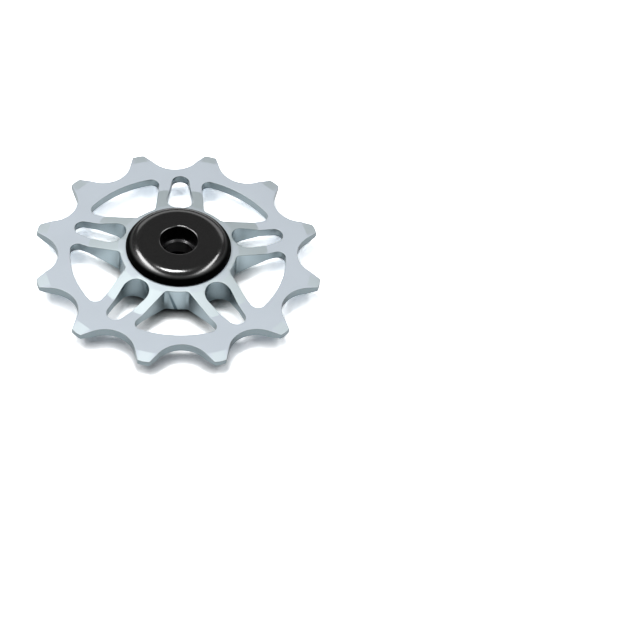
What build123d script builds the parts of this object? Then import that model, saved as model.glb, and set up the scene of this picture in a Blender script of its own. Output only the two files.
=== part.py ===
from build123d import *
import math
import os

# Derailleur jockey wheel: a narrow sprocket on a sealed ball bearing, closed by a domed front cap and a
# flat rear cap that a bolt clamps against the bearing's inner race.
# Millimetres. +Z is the axle, out of the front cap. The origin is on the axle, in the middle of the teeth
# and of the bearing. One arm and one tooth lie along +X.

# Chain
chain_pitch = 12.7
chain_roller_diameter = 7.75

# Teeth
tooth_count = 12
tooth_height = 4.25
roller_root_clearance = 0.4
gullet_relief = 0.95
flank_angle = 25.0
tip_corner_radius = 0.35
tip_thickness = 0.9
tooth_bevel_length = 1.9

# Rim, arms and windows
rim_thickness = 1.6
rim_width = 2.05
rim_flat_width = 3.0
arm_count = 5
arm_hub_width = 8.4
arm_rim_width = 7.2
slot_rim_wall = 1.7
slot_rim_radius = 1.5
slot_hub_radius = 2.3
slot_hub_wall = 2.55
window_rim_fillet = 1.3
window_hub_fillet = 0.9

# Hub
hub_wall = 2.9
hub_land_width = 1.3
hub_land_drop = 0.2
bearing_recess = 0.35
bearing_lip = 0.4
bearing_seat_clearance = 0.02

# Bearing
bearing_bore = 8.0
bearing_diameter = 14.0
bearing_width = 4.0
bearing_chamfer = 0.2
ball_count = 11
ball_section_ratio = 0.6
ball_clearance = 0.02
groove_radius_ratio = 0.52
groove_depth_ratio = 0.15

# Ball cage
cage_race_gap = 0.2
cage_pocket_clearance = 0.06
cage_seal_gap = 0.2
cage_horn_height = 0.45

# Seals
seal_thickness = 0.3
seal_lip_height = 0.2
seal_seat_depth = 0.35
seal_snap_lip = 0.1
seal_fit_clearance = 0.03
seal_lip_clearance = 0.1
seal_rib_height = 0.1

# Caps
cap_diameter = 17.8
front_cap_height = 1.85
front_cap_shoulder_width = 2.5
rear_cap_height = 0.7
rear_cap_shoulder_width = 0.8
cap_edge_height = 0.2
cap_hub_gap = 0.1
cap_hole_diameter = 6.15
cap_hole_chamfer = 0.2
cap_seat_margin = 0.15
spigot_length = 0.5
spigot_clearance = 0.02

# Axle bush
bush_bore = 5.1
bush_clearance = 0.02
bush_chamfer = 0.3

# Sprocket radii and heights that follow
pitch_radius = chain_pitch / (2 * math.sin(math.pi / tooth_count))
roller_radius = chain_roller_diameter / 2
root_radius = pitch_radius - roller_radius - roller_root_clearance
tip_radius = root_radius + tooth_height
gullet_radius = roller_radius + gullet_relief
bevel_start_radius = tip_radius - tooth_bevel_length
window_rim_radius = root_radius - rim_width
cone_foot_radius = window_rim_radius - rim_flat_width
bearing_radius = bearing_diameter / 2
hub_bore_radius = bearing_radius + bearing_seat_clearance
hub_radius = bearing_radius + hub_wall
cap_radius = cap_diameter / 2
cone_top_radius = cap_radius + hub_land_width
slot_rim_end = root_radius - slot_rim_wall
slot_hub_end = bearing_radius + slot_hub_wall
rim_half = rim_thickness / 2
tip_half = tip_thickness / 2
bearing_half = bearing_width / 2
hub_half = bearing_half + bearing_recess
cone_top_half = hub_half - hub_land_drop

# Bearing sizes that follow: the balls and grooves keep their share of the section between bore and rim
bearing_section = (bearing_diameter - bearing_bore) / 2
ball_diameter = ball_section_ratio * bearing_section
ball_radius = ball_diameter / 2
ball_pitch_radius = (bearing_bore + bearing_diameter) / 4
groove_radius = groove_radius_ratio * ball_diameter
groove_depth = groove_depth_ratio * ball_diameter
inner_groove_floor = ball_pitch_radius - ball_radius - ball_clearance
outer_groove_floor = ball_pitch_radius + ball_radius + ball_clearance
inner_shoulder_radius = inner_groove_floor + groove_depth
outer_shoulder_radius = outer_groove_floor - groove_depth
pocket_radius = ball_radius + cage_pocket_clearance
seal_outer_height = bearing_half - seal_lip_height
seal_inner_height = seal_outer_height - seal_thickness
seal_seat_radius = outer_shoulder_radius + seal_seat_depth

# Cap and bush sizes that follow
cap_under_height = hub_half + cap_hub_gap
cap_seat_radius = inner_shoulder_radius - cap_seat_margin
cap_hole_radius = cap_hole_diameter / 2
race_bore_radius = bearing_bore / 2
spigot_radius = race_bore_radius - spigot_clearance
spigot_end_height = bearing_half - spigot_length
bush_radius = race_bore_radius - bush_clearance

os.makedirs("parts", exist_ok=True)


def polar_point(radius, angle):
    """Point of the XY plane at a radius and an angle in degrees."""
    turn = math.radians(angle)
    return (radius * math.cos(turn), radius * math.sin(turn))


# Tooth gap about +X: a round gullet that runs out tangentially into two straight flanks, which end just
# past the tooth tips
half_tooth_angle = 180 / tooth_count
flank_slope = math.radians(flank_angle + half_tooth_angle)
gullet_centre = root_radius + gullet_radius
flank_foot = (gullet_centre - gullet_radius * math.sin(flank_slope), gullet_radius * math.cos(flank_slope))
gap_end = tip_radius + tip_corner_radius
flank_end = (gap_end, flank_foot[1] + (gap_end - flank_foot[0]) * math.tan(flank_slope))
with BuildSketch() as tooth_gap:
    with BuildLine():
        ThreePointArc(flank_foot, (root_radius, 0), (flank_foot[0], -flank_foot[1]))
        Line((flank_foot[0], -flank_foot[1]), (flank_end[0], -flank_end[1]))
        Line((flank_end[0], -flank_end[1]), flank_end)
        Line(flank_end, flank_foot)
    make_face()

# Window about +X: its straight sides are the edges of the two arms beside it
half_arm_step = 180 / arm_count
window_rim_angle = half_arm_step - math.degrees(math.asin(arm_rim_width / 2 / window_rim_radius))
window_hub_angle = half_arm_step - math.degrees(math.asin(arm_hub_width / 2 / hub_radius))
with BuildSketch() as window:
    with BuildLine():
        ThreePointArc(
            polar_point(window_rim_radius, -window_rim_angle),
            (window_rim_radius, 0),
            polar_point(window_rim_radius, window_rim_angle),
        )
        Line(polar_point(window_rim_radius, window_rim_angle), polar_point(hub_radius, window_hub_angle))
        ThreePointArc(
            polar_point(hub_radius, window_hub_angle),
            (hub_radius, 0),
            polar_point(hub_radius, -window_hub_angle),
        )
        Line(polar_point(hub_radius, -window_hub_angle), polar_point(window_rim_radius, -window_rim_angle))
    make_face()
    window_corners = window.vertices().sort_by(Axis.X)
    fillet(window_corners[2:], window_rim_fillet)
    fillet(window.vertices().sort_by(Axis.X)[:2], window_hub_fillet)

# Slot along +X: two round ends and the straight tangents between them
slot_hub_centre = slot_hub_end + slot_hub_radius
slot_rim_centre = slot_rim_end - slot_rim_radius
slot_taper = math.asin((slot_hub_radius - slot_rim_radius) / (slot_rim_centre - slot_hub_centre))
slot_hub_tangent = (
    slot_hub_centre + slot_hub_radius * math.sin(slot_taper),
    slot_hub_radius * math.cos(slot_taper),
)
slot_rim_tangent = (
    slot_rim_centre + slot_rim_radius * math.sin(slot_taper),
    slot_rim_radius * math.cos(slot_taper),
)
with BuildSketch() as arm_slot:
    with BuildLine():
        ThreePointArc(
            slot_hub_tangent,
            (slot_hub_end, 0),
            (slot_hub_tangent[0], -slot_hub_tangent[1]),
        )
        Line((slot_hub_tangent[0], -slot_hub_tangent[1]), (slot_rim_tangent[0], -slot_rim_tangent[1]))
        ThreePointArc(
            (slot_rim_tangent[0], -slot_rim_tangent[1]),
            (slot_rim_end, 0),
            slot_rim_tangent,
        )
        Line(slot_rim_tangent, slot_hub_tangent)
    make_face()

# Sprocket: the flat outline, cut to the turned section of hub, sloping land, cone, rim and tooth bevels,
# and bored from the front for the bearing, with a lip left at the rear for it to rest against
with BuildPart() as sprocket:
    with BuildSketch():
        Circle(tip_radius)
        with PolarLocations(0, tooth_count, start_angle=half_tooth_angle):
            add(tooth_gap.sketch, mode=Mode.SUBTRACT)
        with PolarLocations(0, arm_count, start_angle=half_arm_step):
            add(window.sketch, mode=Mode.SUBTRACT)
        with PolarLocations(0, arm_count):
            add(arm_slot.sketch, mode=Mode.SUBTRACT)
    extrude(amount=hub_half, both=True)
    upright_edges = sprocket.edges().filter_by(Axis.Z)
    tip_corners = upright_edges.filter_by(
        lambda edge: math.hypot(edge.center().X, edge.center().Y) > bevel_start_radius
    )
    fillet(tip_corners, tip_corner_radius)
    with BuildSketch(Plane.XZ):
        with BuildLine():
            Polyline(
                (0, hub_half),
                (cap_radius, hub_half),
                (cone_top_radius, cone_top_half),
                (cone_foot_radius, rim_half),
                (bevel_start_radius, rim_half),
                (tip_radius, tip_half),
                (tip_radius, -tip_half),
                (bevel_start_radius, -rim_half),
                (cone_foot_radius, -rim_half),
                (cone_top_radius, -cone_top_half),
                (cap_radius, -hub_half),
                (0, -hub_half),
                close=True,
            )
        make_face()
    revolve(axis=Axis.Z, mode=Mode.INTERSECT)
    with Locations((0, 0, hub_half)):
        CounterBoreHole(bearing_radius - bearing_lip, hub_bore_radius, hub_half + bearing_half)
sprocket.part.label = "sprocket"
export_step(sprocket.part, "parts/sprocket.step")

# Inner race: a ring with a round groove outside, its two bore corners chamfered
with BuildPart() as inner_race:
    with BuildSketch(Plane.XZ) as inner_section:
        with Locations((race_bore_radius, 0)):
            Rectangle(
                inner_shoulder_radius - race_bore_radius, bearing_width, align=(Align.MIN, Align.CENTER)
            )
        chamfer(inner_section.vertices().group_by(Axis.X)[0], bearing_chamfer)
        with Locations((inner_groove_floor + groove_radius, 0)):
            Circle(groove_radius, mode=Mode.SUBTRACT)
    revolve(axis=Axis.Z)
inner_race.part.label = "inner_race"
export_step(inner_race.part, "parts/inner_race.step")

# Outer race: a ring with a round groove inside and a stepped seat for a seal at each end
with BuildPart() as outer_race:
    with BuildSketch(Plane.XZ) as outer_section:
        with Locations((bearing_radius, 0)):
            Rectangle(
                bearing_radius - outer_shoulder_radius, bearing_width, align=(Align.MAX, Align.CENTER)
            )
        chamfer(outer_section.vertices().group_by(Axis.X)[-1], bearing_chamfer)
        with Locations((outer_groove_floor - groove_radius, 0)):
            Circle(groove_radius, mode=Mode.SUBTRACT)
        for end in (1, -1):
            with Locations((outer_shoulder_radius, end * (seal_inner_height + seal_thickness / 2))):
                Rectangle(
                    seal_seat_depth,
                    seal_thickness,
                    align=(Align.MIN, Align.CENTER),
                    mode=Mode.SUBTRACT,
                )
            with Locations((outer_shoulder_radius, end * (seal_outer_height + seal_lip_height / 2))):
                Rectangle(
                    seal_seat_depth - seal_snap_lip,
                    seal_lip_height,
                    align=(Align.MIN, Align.CENTER),
                    mode=Mode.SUBTRACT,
                )
    revolve(axis=Axis.Z)
outer_race.part.label = "outer_race"
export_step(outer_race.part, "parts/outer_race.step")

# Ball cage: a crown ring that stands off the rear seal, with a radial pocket for each ball, open
# towards the front
cage_floor_height = cage_seal_gap - seal_inner_height
with BuildPart() as ball_cage:
    with BuildSketch(Plane.XY.offset(cage_floor_height)):
        Circle(outer_shoulder_radius - cage_race_gap)
        Circle(inner_shoulder_radius + cage_race_gap, mode=Mode.SUBTRACT)
    extrude(amount=cage_horn_height - cage_floor_height)
    with PolarLocations(ball_pitch_radius, ball_count):
        Cylinder(pocket_radius, bearing_section, rotation=(0, 90, 0), mode=Mode.SUBTRACT)
ball_cage.part.label = "ball_cage"
export_step(ball_cage.part, "parts/ball_cage.step")

# Balls: one node each, evenly spaced on the pitch circle
for number in range(ball_count):
    ball_angle = number * 360 / ball_count
    with BuildPart() as ball:
        with Locations(polar_point(ball_pitch_radius, ball_angle)):
            Sphere(ball_radius)
    ball.part.label = f"ball_{number + 1}"
    export_step(ball.part, f"parts/ball_{number + 1}.step")

# Front seal: a ring snapped into the outer race, with a raised rib and a lip close to the inner race
seal_inner_radius = inner_shoulder_radius + seal_lip_clearance
seal_outer_radius = seal_seat_radius - seal_fit_clearance
seal_rib_width = (seal_outer_radius - seal_inner_radius) / 3
with BuildPart() as front_seal:
    with BuildSketch(Plane.XZ) as seal_section:
        with Locations((seal_inner_radius, seal_inner_height)):
            Rectangle(
                seal_outer_radius - seal_inner_radius, seal_thickness, align=(Align.MIN, Align.MIN)
            )
        with Locations(((seal_inner_radius + seal_outer_radius) / 2, seal_outer_height)):
            Rectangle(seal_rib_width, seal_rib_height, align=(Align.CENTER, Align.MIN))
    revolve(axis=Axis.Z)
front_seal.part.label = "front_seal"
export_step(front_seal.part, "parts/front_seal.step")

# Rear seal: the front seal's mirror image
with BuildPart() as rear_seal:
    mirror(front_seal.part, about=Plane.XY)
rear_seal.part.label = "rear_seal"
export_step(rear_seal.part, "parts/rear_seal.step")

# Axle bush: a plain tube between the two caps' spigots, its bore chamfered at both ends
with BuildPart() as axle_bush:
    Cylinder(bush_radius, 2 * spigot_end_height)
    Cylinder(bush_bore / 2, 2 * spigot_end_height, mode=Mode.SUBTRACT)
    bore_rims = axle_bush.edges().filter_by(GeomType.CIRCLE).sort_by(SortBy.RADIUS)[:2]
    chamfer(bore_rims, bush_chamfer)
axle_bush.part.label = "axle_bush"
export_step(axle_bush.part, "parts/axle_bush.step")


# Cap section: flat outside and rounded down to its edge, with a seat ring that rests on the inner race and a
# spigot in its bore
def cap_section(height, shoulder_width, end):
    """Half section of a cap, where end is 1 at the front and -1 at the rear."""
    face_height = cap_under_height + height
    flat_radius = cap_radius - shoulder_width
    edge = (cap_radius, end * (cap_under_height + cap_edge_height))
    with BuildSketch(Plane.XZ) as section:
        with BuildLine():
            Polyline(
                (flat_radius, end * face_height),
                (cap_hole_radius + cap_hole_chamfer, end * face_height),
                (cap_hole_radius, end * (face_height - cap_hole_chamfer)),
                (cap_hole_radius, end * spigot_end_height),
                (spigot_radius, end * spigot_end_height),
                (spigot_radius, end * bearing_half),
                (cap_seat_radius, end * bearing_half),
                (cap_seat_radius, end * cap_under_height),
                (cap_radius, end * cap_under_height),
                edge,
            )
            TangentArc((flat_radius, end * face_height), edge, tangent=(1, 0))
        make_face()
    return section.sketch


# Front cap: a turned dome
front_section = cap_section(front_cap_height, front_cap_shoulder_width, 1)
with BuildPart() as front_cap:
    revolve(front_section, axis=Axis.Z)
front_cap.part.label = "front_cap"
export_step(front_cap.part, "parts/front_cap.step")

# Rear cap: a low flat disc with a rounded edge, which the wheel lies on
rear_section = cap_section(rear_cap_height, rear_cap_shoulder_width, -1)
with BuildPart() as rear_cap:
    revolve(rear_section, axis=Axis.Z)
rear_cap.part.label = "rear_cap"
export_step(rear_cap.part, "parts/rear_cap.step")
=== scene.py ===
import math

import bmesh
import bpy
from bpy.props import FloatProperty, FloatVectorProperty, PointerProperty
from bpy.types import Operator, Panel, PropertyGroup
from mathutils import Matrix, Vector


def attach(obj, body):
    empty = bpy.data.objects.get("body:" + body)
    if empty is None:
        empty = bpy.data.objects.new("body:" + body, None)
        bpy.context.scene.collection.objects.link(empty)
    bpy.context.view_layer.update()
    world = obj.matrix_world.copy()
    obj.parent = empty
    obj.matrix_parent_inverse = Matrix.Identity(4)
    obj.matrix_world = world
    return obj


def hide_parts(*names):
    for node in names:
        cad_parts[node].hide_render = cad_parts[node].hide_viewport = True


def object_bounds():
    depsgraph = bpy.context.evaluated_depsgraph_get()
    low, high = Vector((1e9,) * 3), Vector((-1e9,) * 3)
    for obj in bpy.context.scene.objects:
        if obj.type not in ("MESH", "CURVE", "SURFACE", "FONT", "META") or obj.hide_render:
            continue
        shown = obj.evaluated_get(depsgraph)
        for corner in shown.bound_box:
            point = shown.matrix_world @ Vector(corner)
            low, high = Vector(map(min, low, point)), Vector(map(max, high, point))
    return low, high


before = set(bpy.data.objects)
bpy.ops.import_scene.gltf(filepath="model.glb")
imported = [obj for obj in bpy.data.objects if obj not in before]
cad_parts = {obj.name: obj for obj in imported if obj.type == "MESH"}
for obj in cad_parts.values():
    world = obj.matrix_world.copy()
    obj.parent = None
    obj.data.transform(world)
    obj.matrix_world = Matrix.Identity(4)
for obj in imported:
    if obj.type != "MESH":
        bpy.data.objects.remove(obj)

bl_info = {
    "name": "Jockey Wheel Finishes",
    "version": (1, 0, 0),
    "blender": (4, 5, 0),
    "location": "View3D > Sidebar > Jockey Wheel",
    "description": "Finishes, stage and camera for a derailleur jockey wheel",
    "category": "Object",
}

CAD_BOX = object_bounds()
MILLIMETRE = 0.001

# The picture, and the camera's fixed settings
IMAGE_SIDE = 640
SENSOR_WIDTH = 36.0
NEAR_CLIP = 0.01

# How a CAD node's facets are joined before its edges are broken
WELD_GAP = 0.002 * MILLIMETRE
SHORT_EDGE = 0.06 * MILLIMETRE
FLAT_ANGLE = math.radians(0.3)
CREASE_ANGLE = math.radians(5)
SHARP_ANGLE = math.radians(40)

# How far up a normal points on a face that lies level, and the shape of a broken edge
LEVEL_SHARE = 0.5
EDGE_SEGMENTS = 2
ROUND_PROFILE = 0.5

# Which pieces share a finish
CAP_NODES = ("front_cap", "rear_cap")
RACE_NODES = ("inner_race", "outer_race")
SEAL_NODES = ("front_seal", "rear_seal")
CAGE_NODE = "ball_cage"
BALL_NODES = tuple(
    sorted(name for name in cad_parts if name.startswith("ball_") and name != CAGE_NODE)
)

# Plain colours, directions and ranges
WHITE = (1.0, 1.0, 1.0)
BLACK = (0.0, 0.0, 0.0)
AHEAD = Vector((0.0, 1.0, 0.0))
NONE_TO_FULL = (0.0, 1.0)
FULL_TO_NONE = (1.0, 0.0)

# Noise: its middle value, and its detail in fine grain and in slow patches
NOISE_MIDDLE = 0.5
GRAIN_DETAIL = 3.0
PATCH_DETAIL = 2.0

# What each finish's shader, node groups and bump are set to. A scale counts patches, grains or marks
# in a metre. Wall and Face are the upright shares of a normal where a mask of the walls starts and ends.
FINISHES = {
    "satin_anodise": {
        "shader": {"Metallic": 1.0},
        "tone": {"Scale": 140.0, "Amount": 0.06},
        "grain": {"Spread": 0.12},
        "walls": {"Wall": 0.6, "Face": 0.95},
        "slopes": {"Wall": 0.975, "Face": 0.999},
        "bump": {"Strength": 0.25, "Distance": 0.004 * MILLIMETRE},
    },
    "gloss_black": {
        "shader": {"IOR": 2.4},
        "tone": {"Scale": 300.0, "Amount": 0.3},
        "grain": {"Scale": 900.0, "Spread": 0.05},
        "walls": {"Wall": 0.68, "Face": 0.92},
        "bump": {"Strength": 0.05, "Distance": 0.01 * MILLIMETRE},
    },
    "shaded_bore_steel": {
        "shader": {"Metallic": 1.0},
        "tone": {"Scale": 700.0, "Amount": 0.4},
        "grain": {"Scale": 6000.0, "Roughness": 0.24, "Spread": 0.1},
        "marks": {"Scale": 7000.0},
        "walls": {"Wall": 0.2, "Face": 0.5},
        "bump": {"Strength": 0.2, "Distance": 0.004 * MILLIMETRE},
    },
    "ground_steel": {
        "shader": {"Metallic": 1.0},
        "tone": {"Scale": 500.0, "Amount": 0.06},
        "grain": {"Scale": 4000.0, "Roughness": 0.18, "Spread": 0.08},
        "marks": {"Scale": 9000.0},
        "bump": {"Strength": 0.2, "Distance": 0.003 * MILLIMETRE},
    },
    "polished_ceramic": {
        "shader": {"IOR": 1.9},
        "tone": {"Scale": 3000.0, "Amount": 0.5},
        "grain": {"Scale": 9000.0, "Roughness": 0.08, "Spread": 0.05},
    },
    "moulded_nylon": {
        "shader": {"IOR": 1.53},
        "tone": {"Scale": 900.0, "Amount": 0.12},
        "grain": {"Scale": 6000.0, "Roughness": 0.45, "Spread": 0.15},
        "bump": {"Strength": 0.15, "Distance": 0.004 * MILLIMETRE},
    },
    "seal_rubber": {
        "shader": {"IOR": 1.5},
        "tone": {"Scale": 600.0, "Amount": 0.3},
        "grain": {"Scale": 7000.0, "Roughness": 0.6, "Spread": 0.2},
        "bump": {"Strength": 0.3, "Distance": 0.006 * MILLIMETRE},
    },
}
CAP_WALL_ROUGHNESS = 0.8
# Painted shade in the axle bush's bore
BORE_SHADE_TINT = (0.05, 0.05, 0.05)
FLOOR_ROUGHNESS = 0.9

# The dark streak runs out at this many times its length, and this share of its width is fully dark
MARK_RUN_OUT = 1.3
MARK_CORE = 0.45

# Softboxes: direction in degrees, about the axle from the camera's right and above the floor, width and
# height in millimetres, and the share of a white floor's light that each gives
SOFTBOX_DISTANCE = 1500 * MILLIMETRE
SOFTBOXES = {
    "left_softbox": {"around": 186, "above": 57, "width": 1700, "height": 420, "share": 0.43},
    "right_softbox": {"around": 5, "above": 59, "width": 1700, "height": 240, "share": 0.22},
    "top_softbox": {"around": 112, "above": 77, "width": 340, "height": 240, "share": 0.21},
    "back_softbox": {"around": 90, "above": 26, "width": 1600, "height": 500, "share": 0.03},
}


class WheelFinishSettings(PropertyGroup):
    """Colours and surface sizes of the wheel's pieces."""

    anodise_colour: FloatVectorProperty(
        name="Anodise",
        description="Colour of the satin anodised aluminium",
        subtype="COLOR",
        min=0.0,
        max=1.0,
        default=(0.673, 0.732, 0.790),
    )
    anodise_roughness: FloatProperty(
        name="Satin",
        description="Roughness of the satin anodised aluminium",
        subtype="FACTOR",
        min=0.0,
        max=1.0,
        default=0.6,
    )
    # Painted sheen: a greener tint on the turned slopes and bevels, where the anodise's sheen changes with
    # their angle
    slope_sheen_tint: FloatVectorProperty(
        name="Slope tint",
        description="Tint over the anodise on the turned slopes and bevels",
        subtype="COLOR",
        min=0.0,
        max=1.0,
        default=(0.975, 1.0, 0.955),
    )
    # Painted shade on the sprocket's walls, lighter at the hub and deepest on the gullets and teeth
    hub_wall_shade_tint: FloatVectorProperty(
        name="Hub wall tint",
        description="Tint over the slopes' anodise on the milled walls at the hub",
        subtype="COLOR",
        min=0.0,
        max=1.0,
        default=(0.666, 0.727, 0.762),
    )
    gullet_shade_tint: FloatVectorProperty(
        name="Gullet tint",
        description="Tint over the slopes' anodise on the walls of the gullets and teeth",
        subtype="COLOR",
        min=0.0,
        max=1.0,
        default=(0.399, 0.435, 0.456),
    )
    hub_wall_radius: FloatProperty(
        name="Hub wall radius",
        description="Distance from the axle up to which the hub wall's tint holds",
        subtype="DISTANCE",
        unit="LENGTH",
        precision=6,
        default=9.5 * MILLIMETRE,
    )
    gullet_radius: FloatProperty(
        name="Gullet radius",
        description="Distance from the axle beyond which the gullets' tint holds",
        subtype="DISTANCE",
        unit="LENGTH",
        precision=6,
        default=20.25 * MILLIMETRE,
    )
    wall_roughness: FloatProperty(
        name="Wall satin",
        description="Roughness of the milled walls",
        subtype="FACTOR",
        min=0.0,
        max=1.0,
        default=0.22,
    )
    corner_reach: FloatProperty(
        name="Corner shade",
        description="How near to each other walls have to stand to darken",
        subtype="DISTANCE",
        unit="LENGTH",
        precision=6,
        default=2.2 * MILLIMETRE,
    )
    corner_depth: FloatProperty(
        name="Corner depth",
        description="How fast the shade deepens as a corner closes",
        min=0.0,
        default=3.0,
    )
    corner_radius: FloatProperty(
        name="Corner radius",
        description="Distance from the axle up to which corners darken in full",
        subtype="DISTANCE",
        unit="LENGTH",
        precision=6,
        default=15.0 * MILLIMETRE,
    )
    # Painted shade in the walls' inner corners
    corner_shade_tint: FloatVectorProperty(
        name="Corner tint",
        description="Tint over the walls' anodise in a closed corner",
        subtype="COLOR",
        min=0.0,
        max=1.0,
        default=(0.04, 0.06, 0.07),
    )
    mark_top: FloatVectorProperty(
        name="Dark streak, top",
        description="Upper end of the dark streak on the hub's near wall",
        subtype="TRANSLATION",
        unit="LENGTH",
        precision=6,
        default=(-4.34 * MILLIMETRE, -8.90 * MILLIMETRE, 1.84 * MILLIMETRE),
    )
    mark_foot: FloatVectorProperty(
        name="Dark streak, foot",
        description="Lower end of the dark streak on the hub's near wall",
        subtype="TRANSLATION",
        unit="LENGTH",
        precision=6,
        default=(-3.22 * MILLIMETRE, -9.36 * MILLIMETRE, -1.77 * MILLIMETRE),
    )
    mark_width: FloatProperty(
        name="Dark streak, width",
        description="Width of the dark streak at its foot",
        subtype="DISTANCE",
        unit="LENGTH",
        precision=6,
        default=0.72 * MILLIMETRE,
    )
    mark_tint: FloatVectorProperty(
        name="Dark streak tint",
        description="Tint over the hub wall's anodise along the dark streak",
        subtype="COLOR",
        min=0.0,
        max=1.0,
        default=(0.30, 0.35, 0.38),
    )
    blast_grain: FloatProperty(
        name="Blast grain",
        description="Size of the grain that bead blasting leaves",
        subtype="DISTANCE",
        unit="LENGTH",
        precision=6,
        default=0.12 * MILLIMETRE,
    )
    edge_break: FloatProperty(
        name="Edge break",
        description="Width of the broken edges of the machined pieces",
        subtype="DISTANCE",
        unit="LENGTH",
        precision=6,
        default=0.13 * MILLIMETRE,
    )
    cap_colour: FloatVectorProperty(
        name="Cap",
        description="Colour of the gloss black caps",
        subtype="COLOR",
        min=0.0,
        max=1.0,
        default=(0.003, 0.003, 0.003),
    )
    cap_roughness: FloatProperty(
        name="Cap gloss",
        description="Roughness of the gloss black caps",
        subtype="FACTOR",
        min=0.0,
        max=1.0,
        default=0.155,
    )
    bush_colour: FloatVectorProperty(
        name="Bush",
        description="Colour of the steel bush",
        subtype="COLOR",
        min=0.0,
        max=1.0,
        default=(0.450, 0.450, 0.460),
    )
    race_colour: FloatVectorProperty(
        name="Races",
        description="Colour of the ground bearing steel",
        subtype="COLOR",
        min=0.0,
        max=1.0,
        default=(0.560, 0.565, 0.575),
    )
    ball_colour: FloatVectorProperty(
        name="Balls",
        description="Colour of the ceramic balls",
        subtype="COLOR",
        min=0.0,
        max=1.0,
        default=(0.035, 0.035, 0.037),
    )
    cage_colour: FloatVectorProperty(
        name="Ball cage",
        description="Colour of the moulded nylon cage",
        subtype="COLOR",
        min=0.0,
        max=1.0,
        default=(0.560, 0.520, 0.420),
    )
    seal_colour: FloatVectorProperty(
        name="Seals",
        description="Colour of the rubber seals",
        subtype="COLOR",
        min=0.0,
        max=1.0,
        default=(0.018, 0.018, 0.019),
    )


class WheelStageSettings(PropertyGroup):
    """Floor, lamps and camera."""

    floor_colour: FloatVectorProperty(
        name="Floor",
        description="Colour of the floor",
        subtype="COLOR",
        min=0.0,
        max=1.0,
        default=(0.90, 0.90, 0.90),
    )
    floor_side: FloatProperty(
        name="Floor side",
        description="Length of each side of the floor",
        subtype="DISTANCE",
        unit="LENGTH",
        default=2.4,
    )
    floor_lift: FloatProperty(
        name="Floor lift",
        description="How much brighter the floor shows than it lights the wheel",
        min=0.0,
        default=2.9,
    )
    floor_echo: FloatProperty(
        name="Floor echo",
        description="Share of the floor's lift that shows in reflections",
        subtype="FACTOR",
        min=0.0,
        max=1.0,
        default=0.15,
    )
    floor_drop: FloatProperty(
        name="Floor drop",
        description="Hair's breadth between the wheel's lowest face and the floor",
        subtype="DISTANCE",
        unit="LENGTH",
        precision=6,
        default=0.01 * MILLIMETRE,
    )
    contact_reach: FloatProperty(
        name="Contact shade",
        description="How near to the wheel the floor darkens",
        subtype="DISTANCE",
        unit="LENGTH",
        precision=6,
        default=2.65 * MILLIMETRE,
    )
    contact_front: FloatProperty(
        name="Contact shade, front",
        description="Depth of the contact shade at the wheel's near edge",
        min=0.0,
        default=8.0,
    )
    contact_fall: FloatProperty(
        name="Contact shade, fall",
        description="How steeply the contact shade's depth falls behind the near edge",
        min=0.0,
        default=4.0,
    )
    contact_back: FloatProperty(
        name="Contact shade, back",
        description="Depth of the contact shade at the wheel's far edge",
        min=0.0,
        default=0.6,
    )
    room_front: FloatProperty(
        name="Room light, front",
        description="Strength of the room's light from the camera's side",
        min=0.0,
        default=0.0,
    )
    room_back: FloatProperty(
        name="Room light, back",
        description="Strength of the room's light from the far side",
        min=0.0,
        default=0.075,
    )
    backdrop_echo: FloatProperty(
        name="Backdrop echo",
        description="Share of the white backdrop that shows in reflections",
        subtype="FACTOR",
        min=0.0,
        max=1.0,
        default=0.03,
    )
    key_level: FloatProperty(
        name="Softboxes",
        description="Strength of the softboxes, where 1 lights a white floor to white",
        min=0.0,
        default=1.08,
    )
    camera_elevation: FloatProperty(
        name="Camera elevation",
        description="Angle of the camera's line above the floor",
        subtype="ANGLE",
        unit="ROTATION",
        default=math.radians(48.05),
    )
    camera_turn: FloatProperty(
        name="Camera turn",
        description="Angle of the camera's line about the axle, from looking along +Y",
        subtype="ANGLE",
        unit="ROTATION",
        default=math.radians(-23.1),
    )
    camera_roll: FloatProperty(
        name="Camera roll",
        description="Roll of the camera about its own line",
        subtype="ANGLE",
        unit="ROTATION",
        default=math.radians(6.0),
    )
    camera_distance: FloatProperty(
        name="Camera distance",
        description="Distance from the camera to the wheel",
        subtype="DISTANCE",
        unit="LENGTH",
        default=456.6 * MILLIMETRE,
    )
    lens: FloatProperty(
        name="Lens",
        description="Focal length on a 36 mm sensor, in millimetres",
        default=151.875,
    )
    wheel_pixel: FloatVectorProperty(
        name="Wheel in the picture",
        description="Pixel where the centre of the rim's top face stands, from the top left corner",
        size=2,
        default=(178.2, 254.2),
    )
    rim_height: FloatProperty(
        name="Rim top",
        description="Height of the rim's top face above the wheel's middle plane",
        subtype="DISTANCE",
        unit="LENGTH",
        default=0.8 * MILLIMETRE,
    )


# Node building


def add_node(tree, kind, **values):
    """Adds a node and sets its inputs by name, or its own settings where no input has the name."""
    node = tree.nodes.new(kind)
    for name, value in values.items():
        label = name.replace("_", " ")
        if label in node.inputs:
            node.inputs[label].default_value = value
        else:
            setattr(node, name, value)
    return node


def math_node(tree, operation, first, second=0.0):
    """Adds a math node on one or two values, each a socket or a number."""
    node = add_node(tree, "ShaderNodeMath", operation=operation)
    for socket, value in zip(node.inputs, (first, second)):
        if isinstance(value, bpy.types.NodeSocket):
            tree.links.new(value, socket)
        else:
            socket.default_value = value
    return node.outputs["Value"]


def map_range(tree, value, source, target, interpolation="LINEAR"):
    """Maps a value socket from one range to another."""
    node = add_node(tree, "ShaderNodeMapRange", interpolation_type=interpolation)
    node.inputs["From Min"].default_value, node.inputs["From Max"].default_value = source
    node.inputs["To Min"].default_value, node.inputs["To Max"].default_value = target
    tree.links.new(value, node.inputs["Value"])
    return node.outputs["Result"]


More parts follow.
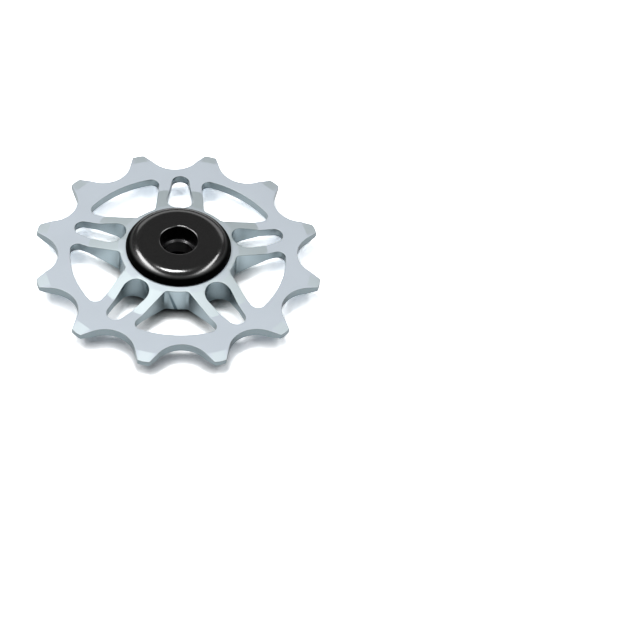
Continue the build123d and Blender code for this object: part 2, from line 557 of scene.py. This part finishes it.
def opaque(colour):
    """A colour with full alpha, for a colour socket."""
    return (*colour, 1.0)


def object_place(tree):
    """The surface's place in the piece's own coordinates."""
    return add_node(tree, "ShaderNodeTexCoord").outputs["Object"]


def axle_distance(tree):
    """Distance of the surface from the axle."""
    axes = add_node(tree, "ShaderNodeSeparateXYZ")
    tree.links.new(object_place(tree), axes.inputs["Vector"])
    across = math_node(tree, "MULTIPLY", axes.outputs["X"], axes.outputs["X"])
    along = math_node(tree, "MULTIPLY", axes.outputs["Y"], axes.outputs["Y"])
    return math_node(tree, "SQRT", math_node(tree, "ADD", across, along))


# Effects that several finishes share


def new_group(name, inputs, outputs):
    """Starts a shader node group with float or colour sockets, and returns it with its two end nodes."""
    group = bpy.data.node_groups.new(name, "ShaderNodeTree")
    for label, kind, value in inputs:
        socket = group.interface.new_socket(label, in_out="INPUT", socket_type=f"NodeSocket{kind}")
        socket.default_value = value
    for label, kind in outputs:
        group.interface.new_socket(label, in_out="OUTPUT", socket_type=f"NodeSocket{kind}")
    return group, group.nodes.new("NodeGroupInput"), group.nodes.new("NodeGroupOutput")


def noise(tree, scale, detail):
    """Adds a noise texture on the piece's own coordinates, with its scale from a socket."""
    texture = add_node(tree, "ShaderNodeTexNoise", Detail=detail)
    tree.links.new(object_place(tree), texture.inputs["Vector"])
    tree.links.new(scale, texture.inputs["Scale"])
    return texture.outputs["Fac"]


def swing_about_middle(tree, texture, amount):
    """How far a noise stands from its middle value, times an amount."""
    offset = math_node(tree, "SUBTRACT", texture, NOISE_MIDDLE)
    return math_node(tree, "MULTIPLY", offset, amount)


def grain_group():
    """Fine even grain: a roughness that varies about its middle value, and a height for bump."""
    name = "Fine grain"
    if name in bpy.data.node_groups:
        return bpy.data.node_groups[name]
    group, start, end = new_group(
        name,
        [("Scale", "Float", 8000.0), ("Roughness", "Float", 0.4), ("Spread", "Float", 0.1)],
        [("Roughness", "Float"), ("Height", "Float")],
    )
    grain = noise(group, start.outputs["Scale"], GRAIN_DETAIL)
    swing = swing_about_middle(group, grain, start.outputs["Spread"])
    rough = math_node(group, "ADD", start.outputs["Roughness"], swing)
    group.links.new(rough, end.inputs["Roughness"])
    group.links.new(grain, end.inputs["Height"])
    return group


def drift_group():
    """Slow drift of a colour over the piece, a little lighter here and darker there."""
    name = "Tone drift"
    if name in bpy.data.node_groups:
        return bpy.data.node_groups[name]
    group, start, end = new_group(
        name,
        [("Color", "Color", (0.5, 0.5, 0.5, 1.0)), ("Scale", "Float", 200.0), ("Amount", "Float", 0.05)],
        [("Color", "Color")],
    )
    patch = noise(group, start.outputs["Scale"], PATCH_DETAIL)
    swing = swing_about_middle(group, patch, start.outputs["Amount"])
    tone = add_node(group, "ShaderNodeHueSaturation")
    group.links.new(start.outputs["Color"], tone.inputs["Color"])
    group.links.new(math_node(group, "ADD", swing, 1.0), tone.inputs["Value"])
    group.links.new(tone.outputs["Color"], end.inputs["Color"])
    return group


def turning_group():
    """Concentric tool marks about the axle, as a height for bump."""
    name = "Turning marks"
    if name in bpy.data.node_groups:
        return bpy.data.node_groups[name]
    group, start, end = new_group(name, [("Scale", "Float", 5000.0)], [("Height", "Float")])
    ring = add_node(group, "ShaderNodeTexNoise", noise_dimensions="1D", Detail=GRAIN_DETAIL)
    group.links.new(axle_distance(group), ring.inputs["W"])
    group.links.new(start.outputs["Scale"], ring.inputs["Scale"])
    group.links.new(ring.outputs["Fac"], end.inputs["Height"])
    return group


def wall_group():
    """Mask of the upright walls, from the way that the surface faces: 1 on a wall and 0 on a level face."""
    name = "Upright walls"
    if name in bpy.data.node_groups:
        return bpy.data.node_groups[name]
    group, start, end = new_group(
        name,
        [("Wall", "Float", 0.3), ("Face", "Float", 0.7)],
        [("Mask", "Float")],
    )
    place = add_node(group, "ShaderNodeTexCoord")
    axes = add_node(group, "ShaderNodeSeparateXYZ")
    group.links.new(place.outputs["Normal"], axes.inputs["Vector"])
    ramp = add_node(group, "ShaderNodeMapRange", interpolation_type="SMOOTHSTEP", To_Min=1.0, To_Max=0.0)
    group.links.new(math_node(group, "ABSOLUTE", axes.outputs["Z"]), ramp.inputs["Value"])
    group.links.new(start.outputs["Wall"], ramp.inputs["From Min"])
    group.links.new(start.outputs["Face"], ramp.inputs["From Max"])
    group.links.new(ramp.outputs["Result"], end.inputs["Mask"])
    return group


def place_group(tree, group, **values):
    """Places a node group in a material with its own values."""
    node = add_node(tree, "ShaderNodeGroup", node_tree=group)
    for name, value in values.items():
        node.inputs[name].default_value = value
    return node


# Finishes


def new_finish(name, **values):
    """Starts a material with one Principled shader, its plain values set on its own sockets."""
    material = bpy.data.materials.new(name)
    material.use_nodes = True
    shader = material.node_tree.nodes["Principled BSDF"]
    for label, value in values.items():
        shader.inputs[label.replace("_", " ")].default_value = value
    return material, material.node_tree, shader


def grained_finish(name, colour):
    """Starts one of the FINISHES, and returns it with its drifting colour socket and its grain node."""
    values = FINISHES[name]
    material, tree, shader = new_finish(name, **values["shader"])
    tone = place_group(tree, drift_group(), Color=opaque(colour), **values["tone"])
    grain = place_group(tree, grain_group(), **values["grain"])
    tree.links.new(grain.outputs["Roughness"], shader.inputs["Roughness"])
    return material, tree, shader, tone.outputs["Color"], grain


def bump(tree, shader, height, values):
    """Puts a bump on the shader from a height socket."""
    node = add_node(tree, "ShaderNodeBump", **values)
    tree.links.new(height, node.inputs["Height"])
    tree.links.new(node.outputs["Normal"], shader.inputs["Normal"])


def tinted(tree, colour, mask, tint):
    """Multiplies a colour socket by a tint, a socket or a colour, where a mask says so."""
    node = add_node(tree, "ShaderNodeMix", data_type="RGBA", blend_type="MULTIPLY")
    tree.links.new(mask, node.inputs["Factor"])
    tree.links.new(colour, node.inputs["A"])
    if isinstance(tint, bpy.types.NodeSocket):
        tree.links.new(tint, node.inputs["B"])
    else:
        node.inputs["B"].default_value = opaque(tint)
    return node.outputs["Result"]


def painted_wall_shade(tree, look):
    """The painted shade of the sprocket's walls, a tint from the hub's out to the gullets', deepest at the
    gullets.
    """
    reach = (look.hub_wall_radius, look.gullet_radius)
    outward = map_range(tree, axle_distance(tree), reach, NONE_TO_FULL)
    tint = add_node(tree, "ShaderNodeMix", data_type="RGBA")
    tint.inputs["A"].default_value = opaque(look.hub_wall_shade_tint)
    tint.inputs["B"].default_value = opaque(look.gullet_shade_tint)
    tree.links.new(outward, tint.inputs["Factor"])
    return tint.outputs["Result"]


def corner_shade(tree, look, walls):
    """Mask of the painted shade in the inner corners of windows and slots: 1 in a closed corner and 0 in
    the open.

    It fades towards the gullets and stays off level faces.
    """
    nearby = add_node(tree, "ShaderNodeAmbientOcclusion", only_local=True, Distance=look.corner_reach)
    gap = math_node(tree, "POWER", nearby.outputs["AO"], look.corner_depth)
    closed = math_node(tree, "SUBTRACT", 1.0, gap)
    reach = (look.gullet_radius, look.corner_radius)
    inward = map_range(tree, axle_distance(tree), reach, NONE_TO_FULL)
    return math_node(tree, "MULTIPLY", math_node(tree, "MULTIPLY", closed, inward), walls)


def dark_streak(tree, look, walls):
    """Mask of the slanting dark streak on the hub's wall: 1 along its middle, 0 beside it."""
    foot = Vector(look.mark_foot)
    line = Vector(look.mark_top) - foot
    mark = add_node(tree, "ShaderNodeMapping", vector_type="TEXTURE", Location=foot)
    mark.inputs["Rotation"].default_value = line.to_track_quat("Z", "Y").to_euler()
    mark.inputs["Scale"].default_value = (
        look.mark_width / 2,
        look.mark_width / 2,
        line.length * MARK_RUN_OUT,
    )
    tree.links.new(object_place(tree), mark.inputs["Vector"])
    away = add_node(tree, "ShaderNodeVectorMath", operation="LENGTH")
    tree.links.new(mark.outputs["Vector"], away.inputs[0])
    fade = map_range(tree, away.outputs["Value"], (MARK_CORE, 1.0), FULL_TO_NONE, "SMOOTHSTEP")
    return math_node(tree, "MULTIPLY", fade, walls)


def wear_finish(nodes, material):
    """Puts one material on CAD nodes."""
    for name in nodes:
        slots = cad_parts[name].material_slots
        if not slots:
            raise RuntimeError(f"{name} has no material slot")
        for slot in slots:
            slot.material = material


# Pieces with broken edges


def lies_level(face):
    """Whether a face looks up or down rather than sideways."""
    return abs(face.normal.z) > LEVEL_SHARE


def broken_edge_mesh(name, width, creased):
    """Copies a CAD node's mesh with facets joined, turned creases kept and sharp edges broken."""
    facets = bmesh.new()
    facets.from_mesh(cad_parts[name].data)
    bmesh.ops.remove_doubles(facets, verts=facets.verts, dist=WELD_GAP)
    bmesh.ops.dissolve_limit(facets, angle_limit=FLAT_ANGLE, verts=facets.verts, edges=facets.edges)
    bmesh.ops.dissolve_degenerate(facets, dist=SHORT_EDGE, edges=facets.edges)
    for face in facets.faces:
        face.smooth = True
    sharp = []
    for edge in facets.edges:
        angle = edge.calc_face_angle()
        turned = creased and angle > CREASE_ANGLE and all(lies_level(face) for face in edge.link_faces)
        edge.smooth = not turned
        if angle > SHARP_ANGLE:
            sharp.append(edge)
    bmesh.ops.bevel(
        facets,
        geom=sharp,
        offset=width,
        offset_type="OFFSET",
        segments=EDGE_SEGMENTS,
        profile=ROUND_PROFILE,
        affect="EDGES",
        clamp_overlap=True,
        material=-1,
    )
    mesh = bpy.data.meshes.new(name)
    facets.to_mesh(mesh)
    facets.free()
    imported_normals = mesh.attributes.get("custom_normal")
    if imported_normals:
        mesh.attributes.remove(imported_normals)
    return mesh


def stand_in(name, body, material, width, creased=False):
    """Adds a copy of a CAD node with broken edges, which rides on its body and stands for it."""
    piece = bpy.data.objects.new(f"finished_{name}", broken_edge_mesh(name, width, creased))
    bpy.context.scene.collection.objects.link(piece)
    piece.data.materials.clear()
    piece.data.materials.append(material)
    normals = piece.modifiers.new("Face normals", "WEIGHTED_NORMAL")
    normals.keep_sharp = True
    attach(piece, body)
    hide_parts(name)


def finish_settings(context):
    """The scene's own colours and surface sizes."""
    return context.scene.wheel_finish


def stage_settings(context):
    """The scene's own floor, lamps and camera."""
    return context.scene.wheel_stage


class WHEEL_OT_sprocket(Operator):
    """Gives the sprocket its satin anodised finish, painted sheen and shade, and broken edges"""

    bl_idname = "wheel.sprocket"
    bl_label = "Sprocket"

    def execute(self, context):
        look = finish_settings(context)
        values = FINISHES["satin_anodise"]
        material, tree, shader, colour, grain = grained_finish("satin_anodise", look.anodise_colour)
        grain.inputs["Scale"].default_value = 1.0 / look.blast_grain
        walls = place_group(tree, wall_group(), **values["walls"]).outputs["Mask"]
        slopes = place_group(tree, wall_group(), **values["slopes"]).outputs["Mask"]
        # Painted sheen on the slopes and bevels
        colour = tinted(tree, colour, slopes, look.slope_sheen_tint)
        # Painted shade on the walls, deepest at the gullets
        colour = tinted(tree, colour, walls, painted_wall_shade(tree, look))
        # Painted shade in the inner corners of windows and slots
        colour = tinted(tree, colour, corner_shade(tree, look, walls), look.corner_shade_tint)
        # A slanting dark streak on the hub's near wall
        colour = tinted(tree, colour, dark_streak(tree, look, walls), look.mark_tint)
        satin = map_range(tree, walls, NONE_TO_FULL, (look.anodise_roughness, look.wall_roughness))
        tree.links.new(satin, grain.inputs["Roughness"])
        tree.links.new(colour, shader.inputs["Base Color"])
        bump(tree, shader, grain.outputs["Height"], values["bump"])
        stand_in("sprocket", "wheel", material, look.edge_break, creased=True)
        return {"FINISHED"}


class WHEEL_OT_caps(Operator):
    """Gives the two caps their gloss black finish, painted shade on their upright walls and broken edges"""

    bl_idname = "wheel.caps"
    bl_label = "Caps"

    def execute(self, context):
        look = finish_settings(context)
        values = FINISHES["gloss_black"]
        material, tree, shader, colour, grain = grained_finish("gloss_black", look.cap_colour)
        walls = place_group(tree, wall_group(), **values["walls"]).outputs["Mask"]
        satin = map_range(tree, walls, NONE_TO_FULL, (look.cap_roughness, CAP_WALL_ROUGHNESS))
        tree.links.new(satin, grain.inputs["Roughness"])
        tree.links.new(colour, shader.inputs["Base Color"])
        # Metallic on the upright walls with the near-black colour: painted shade that keeps the caps' edges
        # and bore black
        tree.links.new(walls, shader.inputs["Metallic"])
        bump(tree, shader, grain.outputs["Height"], values["bump"])
        for name in CAP_NODES:
            stand_in(name, "core", material, look.edge_break)
        return {"FINISHED"}


class WHEEL_OT_bush(Operator):
    """Gives the axle bush its steel finish, with painted shade in its bore"""

    bl_idname = "wheel.bush"
    bl_label = "Axle bush"

    def execute(self, context):
        look = finish_settings(context)
        values = FINISHES["shaded_bore_steel"]
        material, tree, shader, colour, _ = grained_finish("shaded_bore_steel", look.bush_colour)
        marks = place_group(tree, turning_group(), **values["marks"])
        walls = place_group(tree, wall_group(), **values["walls"]).outputs["Mask"]
        # Painted shade: the bore is darkened to near black
        tree.links.new(tinted(tree, colour, walls, BORE_SHADE_TINT), shader.inputs["Base Color"])
        bump(tree, shader, marks.outputs["Height"], values["bump"])
        wear_finish(["axle_bush"], material)
        return {"FINISHED"}


class WHEEL_OT_bearing(Operator):
    """Gives the races, balls and ball cage their finishes"""

    bl_idname = "wheel.bearing"
    bl_label = "Bearing"

    def execute(self, context):
        look = finish_settings(context)
        values = FINISHES["ground_steel"]
        steel, tree, shader, colour, _ = grained_finish("ground_steel", look.race_colour)
        marks = place_group(tree, turning_group(), **values["marks"])
        tree.links.new(colour, shader.inputs["Base Color"])
        bump(tree, shader, marks.outputs["Height"], values["bump"])
        wear_finish(RACE_NODES, steel)

        ceramic, tree, shader, colour, _ = grained_finish("polished_ceramic", look.ball_colour)
        tree.links.new(colour, shader.inputs["Base Color"])
        wear_finish(BALL_NODES, ceramic)

        values = FINISHES["moulded_nylon"]
        nylon, tree, shader, colour, grain = grained_finish("moulded_nylon", look.cage_colour)
        tree.links.new(colour, shader.inputs["Base Color"])
        bump(tree, shader, grain.outputs["Height"], values["bump"])
        wear_finish([CAGE_NODE], nylon)
        return {"FINISHED"}


class WHEEL_OT_seals(Operator):
    """Gives the two bearing seals their rubber finish"""

    bl_idname = "wheel.seals"
    bl_label = "Seals"

    def execute(self, context):
        look = finish_settings(context)
        values = FINISHES["seal_rubber"]
        material, tree, shader, colour, grain = grained_finish("seal_rubber", look.seal_colour)
        tree.links.new(colour, shader.inputs["Base Color"])
        bump(tree, shader, grain.outputs["Height"], values["bump"])
        wear_finish(SEAL_NODES, material)
        return {"FINISHED"}


# Stage


def stage_turn(stage):
    """The turn about the axle that takes the +Y axis to the way the camera looks."""
    return Matrix.Rotation(stage.camera_turn, 3, "Z")


def add_softbox(stage, name, around, above, width, height, share):
    """Adds one softbox that faces the wheel."""
    turn, rise = math.radians(around), math.radians(above)
    line = stage_turn(stage) @ Vector(
        (math.cos(rise) * math.cos(turn), math.cos(rise) * math.sin(turn), math.sin(rise))
    )
    lamp = bpy.data.lights.new(name, "AREA")
    lamp.shape = "RECTANGLE"
    lamp.size = width * MILLIMETRE
    lamp.size_y = height * MILLIMETRE
    lamp.energy = stage.key_level * share * math.pi**2 * SOFTBOX_DISTANCE**2 / math.sin(rise)
    box = bpy.data.objects.new(name, lamp)
    box.location = line * SOFTBOX_DISTANCE
    box.rotation_mode = "QUATERNION"
    box.rotation_quaternion = line.to_track_quat("Z", "Y")
    box.visible_camera = False
    bpy.context.scene.collection.objects.link(box)


def front_to_back(tree, stage, place, reach, values):
    """A value that changes from the stage's front to its back, over a reach of the place's coordinate."""
    ahead = add_node(tree, "ShaderNodeVectorMath", operation="DOT_PRODUCT")
    tree.links.new(place, ahead.inputs[0])
    ahead.inputs[1].default_value = stage_turn(stage) @ AHEAD
    return map_range(tree, ahead.outputs["Value"], reach, values)


def seen_directly(tree, echo):
    """A mask that is 1 where the camera looks at the surface, and a share of that in reflections."""
    path = add_node(tree, "ShaderNodeLightPath")
    glossy, through = path.outputs["Is Glossy Ray"], path.outputs["Is Transmission Ray"]
    echoed = math_node(tree, "MULTIPLY", math_node(tree, "MAXIMUM", glossy, through), echo)
    return math_node(tree, "MAXIMUM", path.outputs["Is Camera Ray"], echoed)


def mixed_shader(tree, mask, first, second):
    """Mixes two shader sockets by a mask: the first at 0, the second at 1."""
    mix = add_node(tree, "ShaderNodeMixShader")
    tree.links.new(mask, mix.inputs["Fac"])
    tree.links.new(first, mix.inputs[1])
    tree.links.new(second, mix.inputs[2])
    return mix.outputs["Shader"]


def contact_shade(tree, stage):
    """Painted shadow on the floor: the share of the floor's colour that is left next to the wheel, lowest
    at the stage's front.
    """
    contact = add_node(tree, "ShaderNodeAmbientOcclusion", Distance=stage.contact_reach)
    radius = CAD_BOX[1].x
    nearness = front_to_back(tree, stage, object_place(tree), (-radius, radius), FULL_TO_NONE)
    steep = math_node(tree, "POWER", nearness, stage.contact_fall)
    swing = math_node(tree, "MULTIPLY", steep, stage.contact_front - stage.contact_back)
    depth = math_node(tree, "ADD", swing, stage.contact_back)
    return math_node(tree, "POWER", contact.outputs["AO"], depth)


def floor_finish(stage):
    """The floor's material: brighter to the eye than to the wheel, with a painted contact shadow, and clear
    from below.
    """
    material, tree, shader = new_finish("white_sweep", Roughness=FLOOR_ROUGHNESS, Specular_IOR_Level=0.0)
    shader.inputs["Base Color"].default_value = opaque(stage.floor_colour)
    bright = [value * stage.floor_lift for value in stage.floor_colour]
    shade = add_node(tree, "ShaderNodeMix", data_type="RGBA", A=opaque(BLACK), B=opaque(bright))
    tree.links.new(contact_shade(tree, stage), shade.inputs["Factor"])
    lifted = add_node(tree, "ShaderNodeBsdfDiffuse")
    tree.links.new(shade.outputs["Result"], lifted.inputs["Color"])
    seen = seen_directly(tree, stage.floor_echo)
    top = mixed_shader(tree, seen, shader.outputs["BSDF"], lifted.outputs["BSDF"])
    underside = add_node(tree, "ShaderNodeNewGeometry").outputs["Backfacing"]
    clear = add_node(tree, "ShaderNodeBsdfTransparent").outputs["BSDF"]
    surface = tree.nodes["Material Output"].inputs["Surface"]
    tree.links.new(mixed_shader(tree, underside, top, clear), surface)
    return material


def add_floor(stage):
    """Adds the white floor that the wheel rests on."""
    side = stage.floor_side / 2
    height = CAD_BOX[0].z - stage.floor_drop
    corners = [(-side, -side, height), (side, -side, height), (side, side, height), (-side, side, height)]
    mesh = bpy.data.meshes.new("floor")
    mesh.from_pydata(corners, [], [(0, 1, 2, 3)])
    mesh.materials.append(floor_finish(stage))
    floor = bpy.data.objects.new("floor", mesh)
    bpy.context.scene.collection.objects.link(floor)


def add_world(stage):
    """Sets the light of the room, dark in front and lighter at the back, behind a white backdrop."""
    world = bpy.data.worlds.new("room")
    world.use_nodes = True
    tree = world.node_tree
    line = add_node(tree, "ShaderNodeTexCoord").outputs["Generated"]
    levels = (stage.room_front, stage.room_back)
    room = tree.nodes["Background"]
    room.inputs["Color"].default_value = opaque(WHITE)
    tree.links.new(front_to_back(tree, stage, line, (-1.0, 1.0), levels), room.inputs["Strength"])
    backdrop = add_node(tree, "ShaderNodeBackground", Color=opaque(WHITE), Strength=1.0)
    seen = seen_directly(tree, stage.backdrop_echo)
    mix = mixed_shader(tree, seen, room.outputs["Background"], backdrop.outputs["Background"])
    tree.links.new(mix, tree.nodes["World Output"].inputs["Surface"])
    bpy.context.scene.world = world


def add_camera(stage):
    """Adds the camera, so that the wheel's centre stands at its pixel of the picture."""
    rise, roll = stage.camera_elevation, stage.camera_roll
    forward = Vector((0.0, math.cos(rise), -math.sin(rise)))
    level = Vector((1.0, 0.0, 0.0))
    upright = level.cross(forward)
    across = level * math.cos(roll) + upright * math.sin(roll)
    up = upright * math.cos(roll) - level * math.sin(roll)
    camera = bpy.data.cameras.new("camera")
    camera.lens = stage.lens
    camera.sensor_width = SENSOR_WIDTH
    camera.clip_start = NEAR_CLIP
    pixels = camera.lens / camera.sensor_width * IMAGE_SIDE
    half = IMAGE_SIDE / 2
    right, down = stage.wheel_pixel[0] - half, stage.wheel_pixel[1] - half
    ray = forward + across * (right / pixels) - up * (down / pixels)
    view = Matrix((across, up, -forward)).transposed().to_4x4()
    view.translation = Vector((0.0, 0.0, stage.rim_height)) - ray * stage.camera_distance
    holder = bpy.data.objects.new("camera", camera)
    holder.matrix_world = stage_turn(stage).to_4x4() @ view
    bpy.context.scene.collection.objects.link(holder)
    bpy.context.scene.camera = holder


class WHEEL_OT_stage(Operator):
    """Adds the floor, the lamps, the room's light and the camera"""

    bl_idname = "wheel.stage"
    bl_label = "Stage"

    def execute(self, context):
        stage = stage_settings(context)
        add_floor(stage)
        add_world(stage)
        for name, values in SOFTBOXES.items():
            add_softbox(stage, name, **values)
        add_camera(stage)
        context.scene.view_settings.view_transform = "Standard"
        return {"FINISHED"}


class VIEW3D_PT_wheel(Panel):
    """Lists the wheel's finishes and its stage"""

    bl_label = "Jockey Wheel"
    bl_idname = "VIEW3D_PT_wheel"
    bl_space_type = "VIEW_3D"
    bl_region_type = "UI"
    bl_category = "Jockey Wheel"

    def draw(self, context):
        for settings in (finish_settings(context), stage_settings(context)):
            column = self.layout.column()
            for name in settings.__annotations__:
                column.prop(settings, name)
        for operator in OPERATORS:
            self.layout.operator(operator.bl_idname)


OPERATORS = (
    WHEEL_OT_sprocket,
    WHEEL_OT_caps,
    WHEEL_OT_bush,
    WHEEL_OT_bearing,
    WHEEL_OT_seals,
    WHEEL_OT_stage,
)
CLASSES = (WheelFinishSettings, WheelStageSettings, *OPERATORS, VIEW3D_PT_wheel)


def register():
    for item in CLASSES:
        bpy.utils.register_class(item)
    bpy.types.Scene.wheel_finish = PointerProperty(type=WheelFinishSettings)
    bpy.types.Scene.wheel_stage = PointerProperty(type=WheelStageSettings)


def unregister():
    del bpy.types.Scene.wheel_stage
    del bpy.types.Scene.wheel_finish
    for item in reversed(CLASSES):
        bpy.utils.unregister_class(item)


def main():
    register()
    bpy.ops.wheel.sprocket()
    bpy.ops.wheel.caps()
    bpy.ops.wheel.bush()
    bpy.ops.wheel.bearing()
    bpy.ops.wheel.seals()
    bpy.ops.wheel.stage()


if __name__ == "__main__":
    main()
